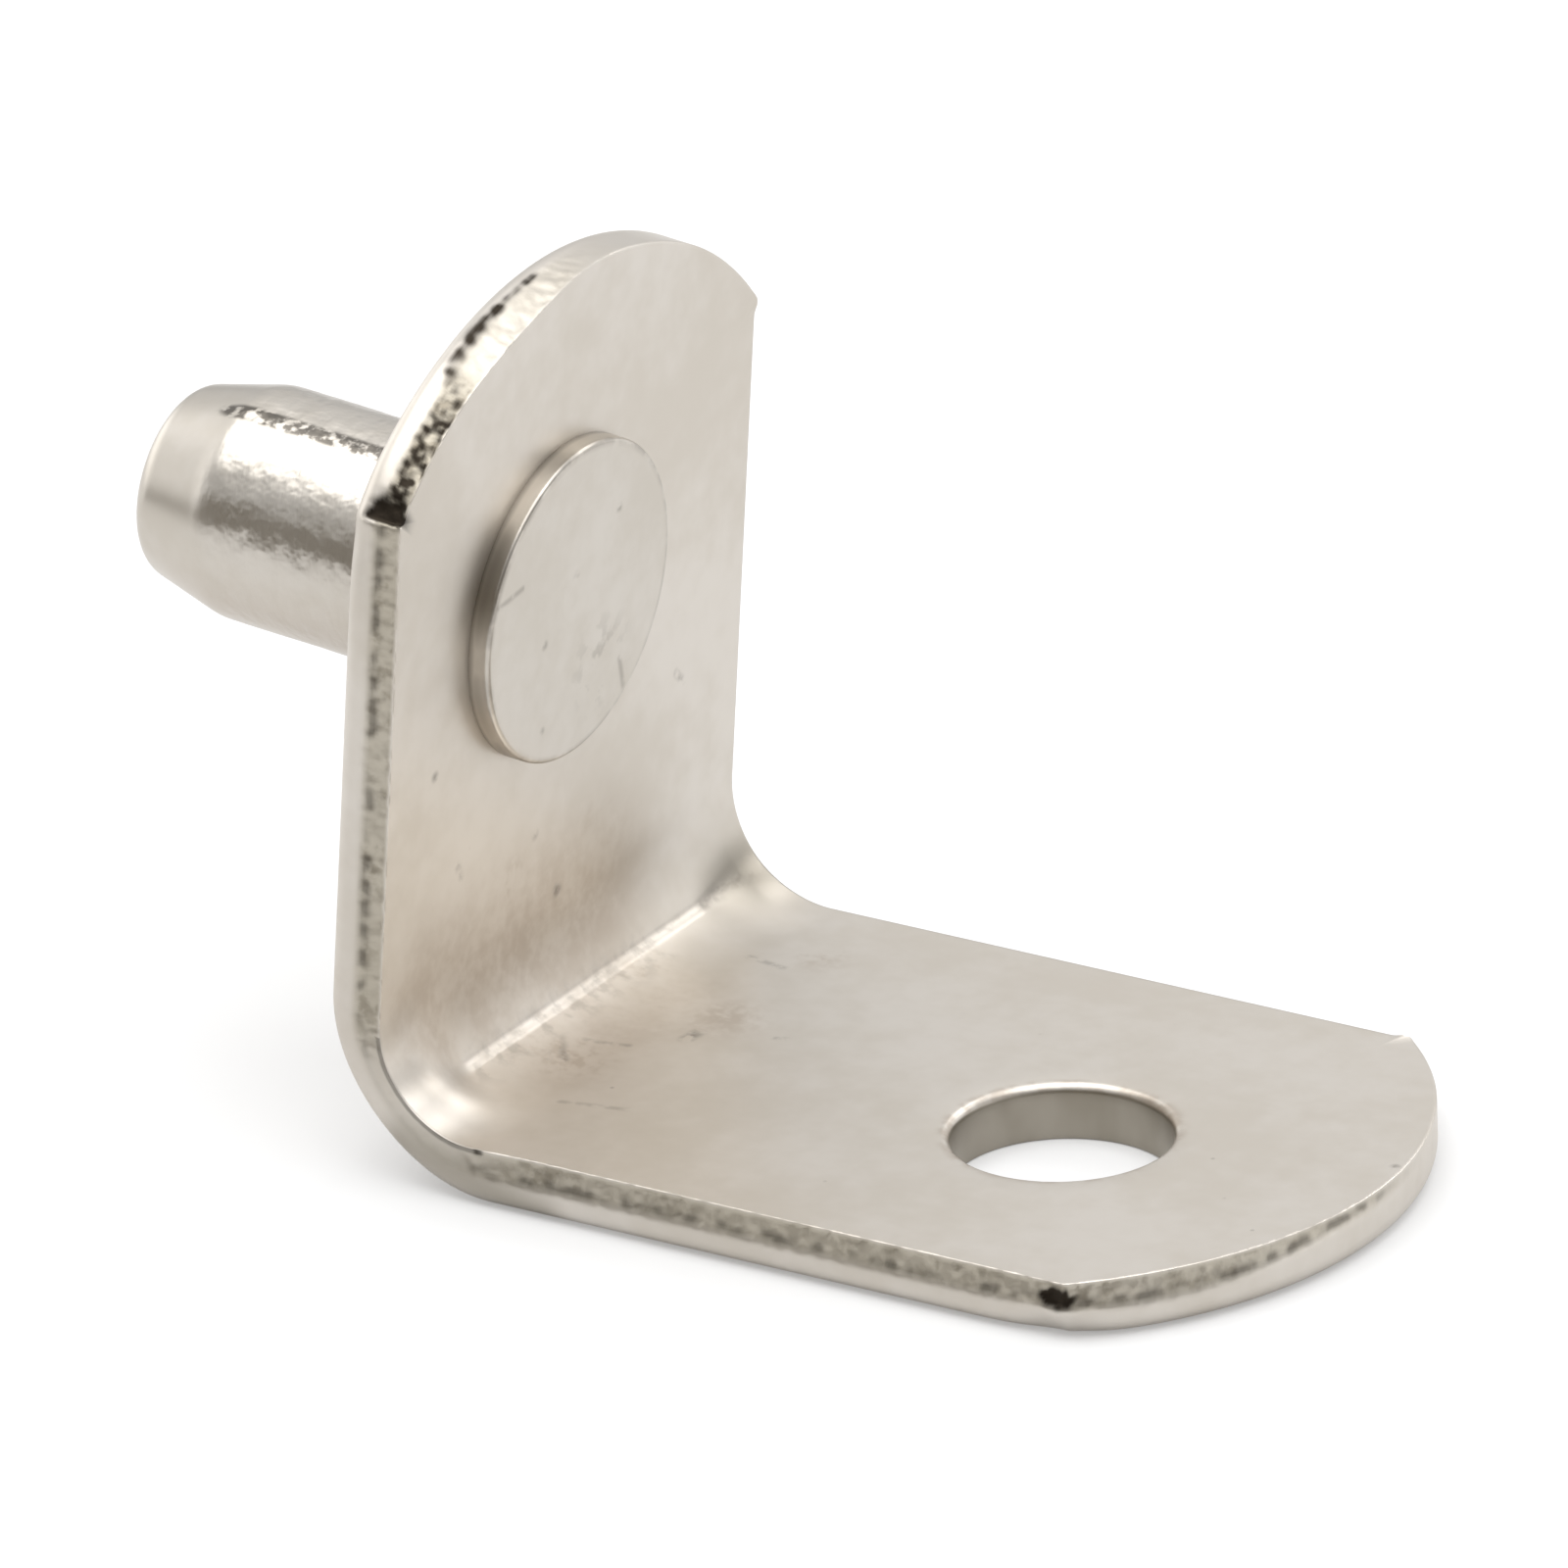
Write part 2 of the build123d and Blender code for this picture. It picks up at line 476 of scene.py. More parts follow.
def skin_places(clear):
    """Places inside the blank, at least so far from every edge and hole."""
    places, x, row = [], upright_end, 0
    while x < leg_end:
        spacing = 0.17 * MM if abs(x) < BEND_HALF else 0.33 * MM
        y = -WIDTH / 2 + (spacing / 2 if row % 2 else 0.0)
        while y < WIDTH / 2:
            if room_left(x, y) > clear:
                places.append((x, y))
            y += spacing / 2 if abs(x) < BEND_HALF and y > WIDTH / 2 - 1.5 * MM else spacing
        near = abs(x)
        x += (0.035 if near < 0.5 * MM else 0.1 if near < 2.9 * MM else 0.3) * MM
        row += 1
    return places


def close_skin(outer_ring, holes, depth, clear, flip):
    """Fills the face between its outer ring and its holes with triangles."""
    rings = [outer_ring] + holes
    numbers = [n for ring in rings for n in ring]
    flat = [Vector(points[n][:2]) / MM for n in numbers]
    edges, start = [], 0
    for ring in rings:
        edges += [(start + k, start + (k + 1) % len(ring)) for k in range(len(ring))]
        start += len(ring)
    for x, y in skin_places(clear):
        numbers.append(len(points))
        points.append((x, y, depth))
        torn.append(0.0)
        flat.append(Vector((x, y)) / MM)
    hole_sets = [set(ring) for ring in holes]
    _, _, triangles, sources, _, _ = delaunay_2d_cdt(flat, edges, [], 0, 1e-6)
    for triangle in triangles:
        corners = tuple(numbers[sources[n][0]] for n in triangle)
        if not any(ring.issuperset(corners) for ring in hole_sets):
            faces.append(corners[::-1] if flip else corners)


close_skin(rim[0], [bore[0], tenon[0]], 0.0, 0.58 * MM, False)
close_skin(rim[-1], [bore[-1], tenon[1]], METAL, 0.55 * MM, True)
print("blank:", len(points), "points,", len(faces), "faces")

# %% [markdown]
# The punch marks the corners: a small ear stands up at each far one, and each near one is
# chipped and black. Dark lumps sit along the torn band, painted shade darkens a step on the arc
# over the pin, and a painted shadow line runs under the rim of the bend. How dark a place is goes
# to the finish as the amount `scar_and_shade`.

# %% Rules of the corners and of the dark lumps
CHIP_DEPTH = 0.10 * MM
CHIP_IN = 0.12 * MM  # the chips' middles lie this far from the side
# each chip: from the corner along the strip, depth, half length and half depth
CHIPS = {"leg": (-0.08 * MM, 0.36 * MM, 0.42 * MM, 0.22 * MM),
         "upright": (-0.24 * MM, 0.40 * MM, 0.50 * MM, 0.42 * MM)}
EAR_REACH, EAR_HEIGHT, EAR_THROW = 0.15 * MM, 0.05 * MM, 0.05 * MM
BURR = 0.07 * MM  # the ears reach this far down the edge
CORNER_FILL = 0.04 * MM
CORNER_ROLL = {"leg": 0.26 * MM, "upright": 0.14 * MM}  # drawn in at the outside
ROLL_FROM, ROLL_REACH = 0.3 * MM, 0.9 * MM


def nearness(x, y, leg, side, spread):
    """1 at a corner of the blank, fading to 0 a few spreads away."""
    return bell(math.hypot(x - corner_x[leg], y - side * WIDTH / 2) / spread)


def chip_at(x, y, depth, dx):
    """How deep in a chip a place is, from 0 to 1."""
    most = 0.0
    for leg, (off, middle, half_length, half_depth) in CHIPS.items():
        along = math.hypot(x - corner_x[leg] - off, y + WIDTH / 2 - CHIP_IN) / half_length
        down = (depth - middle) / half_depth
        ragged = 0.6 * noise.noise(Vector((x, y, depth)) / (0.17 * MM))
        on_arc = 1.0 if leg == "leg" else ramp(-dx, 0.25, 0.55)
        most = max(most, on_arc * bell(along * along + down * down + ragged))
    return most


def soot_and_step_shade(part, here, amount):
    """How dark the torn band and the painted shade on its step are at a place in mm; amount says
    how torn it is there.
    """
    below = here.z - torn_reach(part, here.y)
    if part == "upright arc":
        # Painted shade on the step's face, which turns away from the light, along the band's lower
        # border.
        on_step = ramp(-here.y, 0.3, 1.1) * ramp(here.y, -4.5, -3.9)
        half_width = 0.08 + 0.09 * ramp(-here.y, 1.5, 3.0)
        step = on_step * bell(below / half_width) * (0.95 + 0.8 * noise.noise(here * 4.0))
        crumbs = ramp(-here.y, 3.2, 5.2) * (0.58 + 1.1 * noise.noise(here * 6.0))
        return max(step, amount * crumbs)
    if part == "far side":
        return 0.0
    lumps = 0.32 + 0.8 * noise.noise(here * 3.0) + 0.5 * noise.noise(here * 0.9)
    return min(0.55, max(0.0, lumps)) * bell((below + 0.12) / 0.13) * min(1.0, amount * 1.7)


def seam_shadow_line(here, dy):
    """A painted shadow line under the rim of the bend, with a darker dot where it ends."""
    if dy < -0.9 and 0.0 < here.z < 0.1 and -2.0 < here.x < 2.7:
        return 0.5 + 0.3 * bell((here.x - 2.6) / 0.07)
    return 0.0


# %% Chips, ears and outside corners
scar_and_shade, creased = [0.0] * len(points), [0.0] * len(points)
edge_out = [(0.0, 0.0, 0.0)] * len(points)
for ring, (depth, _, _) in zip(rim, edge_rows):
    for n, part, (_, _, dx, dy) in zip(ring, edge_parts, outline):
        px, py, pz = points[n]
        here = Vector((px, py, pz)) / MM
        chip = chip_at(px, py, depth, dx)
        corner = max(nearness(px, py, leg, 1, EAR_REACH) for leg in corner_x)
        ear = corner * bell(depth / BURR)
        shift = ear * EAR_THROW + corner * CORNER_FILL - chip * CHIP_DEPTH
        shift -= torn_slope(part, here.x, here.y, here.z) * MM
        points[n] = (px + dx * shift, min(py + dy * shift, WIDTH / 2), pz - ear * EAR_HEIGHT)
        # Chips are black; the seam line is a painted shadow and the step gets painted shade.
        dark = max(chip * 1.6, seam_shadow_line(here, dy), soot_and_step_shade(part, here, torn[n]))
        scar_and_shade[n] = max(0.0, min(1.0, dark))
        edge_out[n] = (dx, dy, 0.0)

for n, (px, py, pz) in enumerate(points):
    sunk = ramp(pz, ROLL_FROM, METAL)
    for leg, most in CORNER_ROLL.items():
        pull = most * sunk * nearness(px, py, leg, -1, ROLL_REACH)
        px += pull * (-0.35 if leg == "leg" else 0.35)
        py += pull * 0.94
    points[n] = (px, py, pz)
    if pz < 0.001 * MM and abs(px) < 1.2 * MM:
        creased[n] = bell(px / (0.28 * MM)) * ramp(py, -4.4 * MM, -3.6 * MM)
print("dark points:", sum(amount > 0.5 for amount in scar_and_shade))

# %% The blank as a mesh
bored = [0.0] * len(points)
for ring in bore[5:]:
    for n in ring:
        bored[n] = 1.0
blank_mesh = bpy.data.meshes.new("strip")
blank_mesh.from_pydata(points, [], faces)
for label, amounts in (("torn", torn), ("scar_and_shade", scar_and_shade), ("bored", bored), ("creased", creased)):
    blank_mesh.attributes.new(label, "FLOAT", "POINT").data.foreach_set("value", amounts)
blank_mesh.attributes.new("edge_out", "FLOAT_VECTOR", "POINT").data.foreach_set(
    "vector", [v for way in edge_out for v in way])
strip = add_object("strip", blank_mesh)
print("strip:", len(blank_mesh.vertices), "points,", len(blank_mesh.polygons), "faces")

# %% [markdown]
# The bend follows a rule, so a Geometry Nodes tree makes it. The outer skin turns on one arc,
# the heel. The inner skin turns on a plain arc at both edges, but the bending tool has pressed
# a sharp crease into it between them, so there the turn is shared out: a slow turn on the
# upright, most of it in the crease, and the rest slowly on the shelf leg.

# %% Tree that bends the blank
bend, shape, v = new_tree("punch and bend", [
    "Turn", "Inside radius", "Heel radius", "Crease turn", "Crease radius", "Upright turn",
    "Upright radius", "Leg radius", "Crease half", "Arc half", "Near fade", "Far fade",
    "Heel pinch", "Torn depth", "Torn grain", "Seed", "Metal",
])
rough = (speckle(bend, v["Torn grain"], v["Seed"]) - 0.55) * v["Torn depth"]
roughened = push_along(bend, shape, attribute(bend, "edge_out", "FLOAT_VECTOR").socket,
                       rough * attribute(bend, "torn"))

x, y, depth = coordinates(bend)
turn_all, plain = v["Turn"], v["Inside radius"]
inside_near = ((y + (WIDTH / 2 - 0.25 * MM)) / v["Near fade"]).smooth()
inside_far = ((WIDTH / 2 + 0.5 * MM - y) / v["Far fade"]).smooth()
pressed = inside_near * inside_far
half_c, half_b = v["Crease half"], v["Arc half"]
plain_crease = turn_all * half_c / half_b
crease_turn = plain_crease.mix(v["Crease turn"], pressed)
upper_turn = ((turn_all - plain_crease) * 0.5).mix(v["Upright turn"], pressed)
r1 = plain.mix(v["Upright radius"], pressed)
rc = plain.mix(v["Crease radius"], pressed)
r2 = plain.mix(v["Leg radius"], pressed)
p1, p2 = upper_turn, upper_turn + crease_turn
a1 = upper_turn * ((x + half_b) / (half_b - half_c)).clamp()
ac = crease_turn * ((x + half_c) / (half_c * 2.0)).clamp()
a2 = (turn_all - p2) * ((x - half_c) / (half_b - half_c)).clamp()


def down_run(first, middle, last):
    return r1 * first.sin() + rc * (middle.sin() - p1.sin()) + r2 * (last.sin() - p2.sin())


def out_run(first, middle, last):
    return r1 * (1.0 - first.cos()) + rc * (p1.cos() - middle.cos()) + r2 * (p2.cos() - last.cos())


foot_2 = out_run(p1, p2, turn_all) / turn_all.sin()
foot_1 = down_run(p1, p2, turn_all) - foot_2 * turn_all.cos()
before = ((x + half_b) * -1.0 / (BEND_HALF - half_b)).clamp()
after = ((x - half_b) / (BEND_HALF - half_b)).clamp()
leg_run = (x - BEND_HALF).math("MAXIMUM", 0.0)
upright_run = (x * -1.0 - BEND_HALF).math("MAXIMUM", 0.0)


def skin(down, out, start, finish, foot, corner):
    """World X and Z of a skin from its arcs and from where its straight legs start."""
    lead = before * (foot - start) + upright_run
    tail = after * (foot - finish) + leg_run
    down = down - start - lead + tail * turn_all.cos()
    out = out + tail * turn_all.sin()
    across = down * -up_leg.x + out * out_leg.x + corner.x
    height = down * -up_leg.z + out * out_leg.z + corner.z
    return across, height


inner_x, inner_z = skin(
    down_run(a1, p1 + ac, p2 + a2), out_run(a1, p1 + ac, p2 + a2), foot_1, foot_2,
    BEND_HALF, inner_corner)
heel_r = v["Heel radius"]
ao = turn_all * ((x + half_b) / (half_b * 2.0)).clamp()
heel_foot = heel_r * (turn_all * 0.5).math("TANGENT")
outer_x, outer_z = skin(
    heel_r * ao.sin(), heel_r * (1.0 - ao.cos()), heel_foot, heel_foot,
    FOOT_OUTSIDE, heel_corner)
into = depth / METAL
in_bend = (1.0 - x.math("ABSOLUTE") / half_b).smooth()
pinched = y * (1.0 - in_bend * into * v["Heel pinch"]) + SIDE_SHIFT
bent = set_position(bend, roughened, inner_x.mix(outer_x, into), pinched,
                    inner_z.mix(outer_z, into))
finish_tree(bend, bent, v["Metal"])

# %% [markdown]
# Both pieces are nickel plated. Nickel is a warm pale metal, and the plating follows what is
# under it: satin on the rolled faces, brighter where the punch has burnished the edge, and
# dark and crumbly where the metal tore. What both materials share is made once, as shader
# groups: clouds of tone, fine grain, pits, and single strokes for the scratches.


# %% Helpers for shader groups
def new_group(name, inputs, output):
    """A shader group with one output; an input without a value is a place."""
    tree = bpy.data.node_groups.new(name, "ShaderNodeTree")
    for label, value in inputs.items():
        kind = "NodeSocketVector" if value is None else "NodeSocketFloat"
        socket = tree.interface.new_socket(label, in_out="INPUT", socket_type=kind)
        if value is not None:
            socket.default_value = value
    tree.interface.new_socket(output, in_out="OUTPUT", socket_type="NodeSocketFloat")
    entry, leave = tree.nodes.new("NodeGroupInput"), tree.nodes.new("NodeGroupOutput")
    return tree, {label: Number(tree, entry.outputs[label]) for label in inputs}, leave


def noise_at(tree, place, grains, detail=2.0, stretch=None):
    """Noise from 0 to 1 at so many grains to the millimetre."""
    if stretch is not None:
        place = add_node(tree, "ShaderNodeMapping", {"Scale": stretch, "Vector": place}).outputs[0]
    node = add_node(tree, "ShaderNodeTexNoise", {
        "Vector": place, "Scale": grains * 1000.0, "Detail": detail})
    return Number(tree, node.outputs[0])


def step_up(value, low, high):
    """0 below low, 1 above high and smooth between them."""
    return ((value - low) / (high - low)).smooth()


# %% Shared effects
cloudy, g, leave = new_group("clouds of tone", {"Place": None, "Grains": 0.3}, "Cloud")
wide = noise_at(cloudy, g["Place"], g["Grains"], 3.0)
fine = noise_at(cloudy, g["Place"], g["Grains"] * 7.0, 2.0)
cloudy.links.new((wide * 0.7 + fine * 0.3).socket, leave.inputs["Cloud"])

pitted, g, leave = new_group("pits", {"Place": None, "Grains": 1.0, "Size": 0.1}, "Pits")
cells = add_node(pitted, "ShaderNodeTexVoronoi", {
    "Vector": g["Place"], "Scale": g["Grains"] * 1000.0})
chance = add_node(pitted, "ShaderNodeSeparateColor", {0: cells.outputs["Color"]})
pick = step_up(Number(pitted, chance.outputs[0]), 0.55, 0.95)
dot = (1.0 - Number(pitted, cells.outputs["Distance"]) / (g["Size"] * g["Grains"])).smooth()
pitted.links.new((dot * pick).socket, leave.inputs["Pits"])

stroke, g, leave = new_group("stroke", {
    "Place": None, "Start": None, "End": None, "Half width": 0.05, "Strength": 1.0}, "Mask")


def vector_math(operation, values, result="Vector"):
    node = add_node(stroke, "ShaderNodeVectorMath", values, operation=operation)
    return Number(stroke, node.outputs[result])


to_place = vector_math("SUBTRACT", {0: g["Place"], 1: g["Start"]})
whole = vector_math("SUBTRACT", {0: g["End"], 1: g["Start"]})
reached = vector_math("DOT_PRODUCT", {0: to_place, 1: whole}, "Value")
reached = (reached / vector_math("DOT_PRODUCT", {0: whole, 1: whole}, "Value")).clamp()
reached_place = vector_math("SCALE", {0: whole, "Scale": reached})
gap = vector_math("LENGTH", {0: vector_math("SUBTRACT", {0: to_place, 1: reached_place})}, "Value")
mask = (1.0 - gap / (g["Half width"] * MM)).smooth() * g["Strength"]
stroke.links.new(mask.socket, leave.inputs["Mask"])


# %% What each nickel material is made with
def new_material(name):
    """A material, its tree and its shader."""
    material = bpy.data.materials.new(name)
    material.use_nodes = True
    return material, material.node_tree, material.node_tree.nodes["Principled BSDF"]


def blend_colours(tree, first, second, share):
    """Mixes two colours; each is a colour or the result of an earlier mix."""
    colours = [c if isinstance(c, Number) else (*c, 1.0) for c in (first, second)]
    node = add_node(tree, "ShaderNodeMix", {0: share, 6: colours[0], 7: colours[1]},
                    data_type="RGBA")
    return Number(tree, node.outputs[2])


class Nickel:
    """A nickel material in the making, on its own Object coordinates."""

    def __init__(self, name, pale, warm, grains):
        self.metal, self.tree, self.shader = new_material(name)
        self.shader.inputs["Metallic"].default_value = 1.0
        place = self.tree.nodes.new("ShaderNodeTexCoord")
        self.place = Number(self.tree, place.outputs["Object"])
        self.cloud, self.colour = self.use(cloudy, Grains=grains), pale
        self.lay(warm, step_up(self.cloud, 0.35, 0.65))

    def use(self, group, **values):
        values = {label.replace("_", " "): value for label, value in values.items()}
        node = add_node(self.tree, "ShaderNodeGroup", {"Place": self.place, **values},
                        node_tree=group)
        return Number(self.tree, node.outputs[0])

    def noise(self, grains, detail=2.0, stretch=None):
        return noise_at(self.tree, self.place, grains, detail, stretch)

    def patches(self, grains, detail, low, high):
        """Noise cut into patches with soft borders."""
        return step_up(self.noise(grains, detail), low, high)

    def mask(self, name):
        """An amount that the mesh carries at each point."""
        node = add_node(self.tree, "ShaderNodeAttribute", {}, attribute_name=name)
        return Number(self.tree, node.outputs["Fac"])

    def strokes(self, rows):
        """The strongest of several strokes: ends, half width in mm and strength."""
        total = None
        for start, end, half_width, strength in rows:
            mask = self.use(stroke, Start=start, End=end, Half_width=half_width, Strength=strength)
            total = mask if total is None else total.math("MAXIMUM", mask)
        return total

    def lay(self, colour, share):
        """Lays a colour over what is there; a share of 1 hides it."""
        self.colour = blend_colours(self.tree, self.colour, colour, share)

    def finish(self, height, strength, distance):
        """Plugs in the colour and the fine relief."""
        bump = add_node(self.tree, "ShaderNodeBump", {
            "Strength": strength, "Distance": distance, "Height": height})
        self.tree.links.new(bump.outputs["Normal"], self.shader.inputs["Normal"])
        self.tree.links.new(self.colour.socket, self.shader.inputs["Base Color"])
        print(self.metal.name, "nodes:", len(self.tree.nodes))


def on_upright(height, y):
    """A place on the inner face of the upright: mm above the outer corner, and mm across."""
    return heel_corner + up_leg * (height * MM) + out_leg * METAL + Vector((0, y * MM, 0))


def on_leg(reach, y):
    """A place on top of the shelf leg: mm from the outer corner, and mm across."""
    return heel_corner + Vector((reach * MM, y * MM, METAL))


NICKEL_PALE, NICKEL_WARM = (0.66, 0.620, 0.568), (0.60, 0.556, 0.495)
PIN_PALE, PIN_WARM = (0.60, 0.563, 0.512), (0.55, 0.510, 0.452)
BORED_PALE, BORED_DARK = (0.40, 0.367, 0.315), (0.33, 0.300, 0.250)
STAIN_AND_SHADE, GRIME_AND_SHADE = (0.44, 0.375, 0.31), (0.16, 0.14, 0.12)
TORN_BROWN, TORN_DARK = (0.43, 0.392, 0.315), (0.20, 0.172, 0.128)
NEAR_BLACK = (0.03, 0.024, 0.018)
HEEL_SHADE = (0.28, 0.252, 0.205)


def spot(where, radius, strength):
    """A round stroke."""
    return where, where + Vector((0.0, 0.01 * MM, 0.0)), radius, strength


def spots(on_face, rows):
    """Spots on a face; each row has a place in mm, a radius in mm and a strength."""
    return [spot(on_face(a, b), *rest) for a, b, *rest in rows]


def lines(on_face, rows):
    """Strokes on a face; each row has both ends in mm, a half width in mm and a strength."""
    return [(on_face(a, b), on_face(c, d), *rest) for a, b, c, d, *rest in rows]


# %% [markdown]
# The strip is satin rolled sheet. Stains lie round the bend. Painted shade lies at the foot of
# the upright, low on the heel and at the far end of the crease, and the crease is darker and
# grainy. Dents and scratches lie where the photo shows them, so they are placed in mm on the two
# faces. The hole's deep wall is painted darker as painted shade, and the torn band is brown with
# dark crumbs and black lumps.

# %% Strip material
plate = Nickel("strip_nickel", NICKEL_PALE, NICKEL_WARM, 0.22)
torn_mask, scar_and_shade_mask = plate.mask("torn"), plate.mask("scar_and_shade")

# Real stains first; the painted shade of the inner corner joins them below.
stains_and_shade = plate.strokes(spots(on_upright, [
    (4.7, -1.4, 1.1, 0.8), (4.6, 1.8, 1.5, 0.6), (3.3, -2.8, 1.5, 0.9), (3.2, 0.2, 2.4, 0.9),
]) + spots(on_leg, [
    (2.6, 2.2, 1.7, 0.8), (4.7, 1.5, 1.5, 0.7), (3.0, -1.6, 2.2, 0.9), (5.0, 4.9, 0.9, 0.6),
]))
mottle = plate.noise(0.8, 3.0) * 0.55 + plate.noise(3.6, 4.0) * 0.45
stains_and_shade = stains_and_shade * step_up(mottle, 0.42, 0.62)
# foot_shade is painted shade in the inner corner, at the foot of the upright and on the leg next
# to the bend, mottled like the stains.
foot_shade = plate.strokes((
    lines(on_upright, [(3.2, -4.2, 3.2, 1.6, 3.2, 1.0)])
    + lines(on_leg, [(3.2, -2.0, 3.2, 2.0, 2.2, 0.6)])))
stains_and_shade = stains_and_shade.math("MAXIMUM", foot_shade * (step_up(mottle, 0.36, 0.66) * 0.5 + 0.42))
# Lays the real stains and the painted shade of the corner together.
plate.lay(STAIN_AND_SHADE, stains_and_shade * 0.85)
# Painted shade low on the near side of the heel and leg, where they meet the floor.
heel_shade = plate.strokes([
    (heel_corner + Vector((2.0, -6.35, 1.0)) * MM, heel_corner + Vector((5.2, -6.35, 0.05)) * MM,
     0.9, 1.0)])
# Painted shade over the far end of the crease, dimming the light it reflects there.
crease_end_shade = plate.strokes([spot(inner_corner + Vector((0.7, 6.6, 0.5)) * MM, 1.9, 0.8)])
plate.lay(HEEL_SHADE, (heel_shade * 0.7).math("MAXIMUM", crease_end_shade))

marks = plate.strokes(spots(on_upright, [
    (8.41, -4.48, 0.18, 0.6), (3.91, 0.42, 0.24, 0.7), (5.52, -0.52, 0.18, 0.4),
]) + spots(on_leg, [(20.39, 1.68, 0.16, 0.9)]) + lines(on_upright, [
    (6.1, -3.5, 5.7, -3.3, 0.16, 0.35), (7.1, 4.7, 6.8, 5.0, 0.15, 0.4),
]) + lines(on_leg, [
    (2.4, -0.9, 3.0, -1.8, 0.18, 0.6), (2.3, -1.2, 2.7, -2.0, 0.16, 0.55),
    (2.9, -0.8, 3.75, -0.55, 0.14, 0.4), (4.62, 0.29, 4.66, 0.63, 0.26, 0.65),
    (4.0, -3.5, 5.4, -3.2, 0.14, 0.32), (3.6, 4.3, 4.5, 4.15, 0.15, 0.35),
    (6.05, 1.1, 6.4, 1.22, 0.14, 0.35),
]))
marks = marks * plate.patches(3.4, 4.0, 0.36, 0.58)
specks = plate.use(pitted, Grains=0.8, Size=0.07)
plate.lay(GRIME_AND_SHADE, marks.math("MAXIMUM", specks * 0.5))

# A darker, grainy band along the crease and just below it on the leg, which also roughens the
# relief there.
crease_grain = plate.noise(2.4, 3.0)
crease_band = plate.strokes(lines(on_leg, [(1.9, -3.3, 1.9, 3.0, 0.9, 1.0)]))
crease_band = crease_band.math("MAXIMUM", plate.mask("creased") * 0.9)
crease_band = crease_band * step_up(crease_grain, 0.47, 0.66)
plate.lay(GRIME_AND_SHADE, crease_band * 0.4)

lip = plate.strokes(spots(on_leg, [(HOLE_REACH / MM, 0.0, 2.8, 1.0)]))
lip = step_up(lip, 0.010, 0.06) * plate.patches(2.2, 3.0, 0.38, 0.62)
plate.lay(STAIN_AND_SHADE, lip * 0.6)
# The screw hole's deep wall is painted darker, as painted shade inside the hole, with a mottled
# grain.
wall_grain = plate.noise(0.8, 2.0, stretch=(1.0, 1.0, 0.6))
wall_colour = blend_colours(plate.tree, BORED_DARK, BORED_PALE, step_up(wall_grain, 0.30, 0.62))
plate.lay(wall_colour, plate.mask("bored"))

crumbs = plate.patches(2.8, 3.0, 0.44, 0.64)
crumbs = crumbs * plate.patches(0.9, 2.0, 0.32, 0.60)
plate.lay(TORN_BROWN, torn_mask * 0.85)
plate.lay(TORN_DARK, torn_mask * torn_mask * crumbs * 0.8)
# scar_and_shade holds black chips and dark lumps, painted shade on the step and the painted shadow
# line in the bend.
plate.lay(NEAR_BLACK, scar_and_shade_mask.smooth())

rough_value = torn_mask * 0.10 + stains_and_shade * 0.06 + 0.36 + plate.cloud * 0.08
plate.tree.links.new(rough_value.socket, plate.shader.inputs["Roughness"])
relief = plate.noise(7.0, 2.0) * (torn_mask * 5.0 + 0.5) + crease_grain * (
    plate.mask("creased") * 2.5 + crease_band * 2.0)
plate.finish(relief, 0.5, 0.004 * MM)

# %% [markdown]
# The pin is plated wire, drawn and headed, so it is brighter. Its head has a few dents and a
# rubbed patch. Dirt and painted shade darken the seam round the head and the near side of its rim
# wall, painted shade darkens the pin's lower side, and the flash line is dark.

# %% Pin material
wire = Nickel("pin_nickel", PIN_PALE, PIN_WARM, 0.3)
wire.shader.inputs["Roughness"].default_value = 0.30


def on_head(height, y):
    """A place on the face of the head: mm above the pin's axis, and mm across."""
    return (up_leg * (height * MM) + out_leg * (METAL + HEAD_THICKNESS)
            + Vector((0.0, y * MM, 0.0)))


def below_head(height, y):
    """The same place, sunk to just over the strip's face."""
    return on_head(height, y) - out_leg * (0.3 * MM)


marks = wire.strokes(lines(on_head, [(1.05, -3.1, 1.15, -2.2, 0.12, 0.42)]) + spots(
    on_head, [(1.55, 1.39, 0.17, 0.55), (0.63, -0.16, 0.17, 0.6),
              (-0.49, -1.26, 0.16, 0.55), (-2.42, -1.22, 0.13, 0.45)],
) + lines(on_head, [(-1.93, 1.66, -2.6, 1.85, 0.13, 0.4)]))
marks = marks * wire.patches(3.0, 3.0, 0.30, 0.55)
rubbed = wire.strokes(spots(on_head, [(-1.7, 0.9, 1.5, 1.0)]))
rubbed = rubbed * wire.patches(2.4, 4.0, 0.50, 0.62)
specks = wire.use(pitted, Grains=0.9, Size=0.06)
marks = marks.math("MAXIMUM", specks * 0.4).math("MAXIMUM", rubbed * 0.3)
wire.lay(GRIME_AND_SHADE, marks)

# Painted shade along the lower near side of the pin's body.
low_side = up_leg * (-1.7 * MM) + Vector((0.0, -1.8 * MM, 0.0))
pin_underside_shade = wire.strokes([
    (low_side - out_leg * (0.6 * MM), low_side - out_leg * (6.0 * MM), 1.9, 1.0)])
wire.lay(STAIN_AND_SHADE, pin_underside_shade * 0.45)
flash_mask = wire.mask("flash")
flash_dark = wire.patches(4.5, 3.0, 0.35, 0.54) * step_up(flash_mask, 0.1, 0.6)
wire.lay(NEAR_BLACK, flash_dark * 0.8)
worn = wire.patches(1.6, 3.0, 0.35, 0.6)
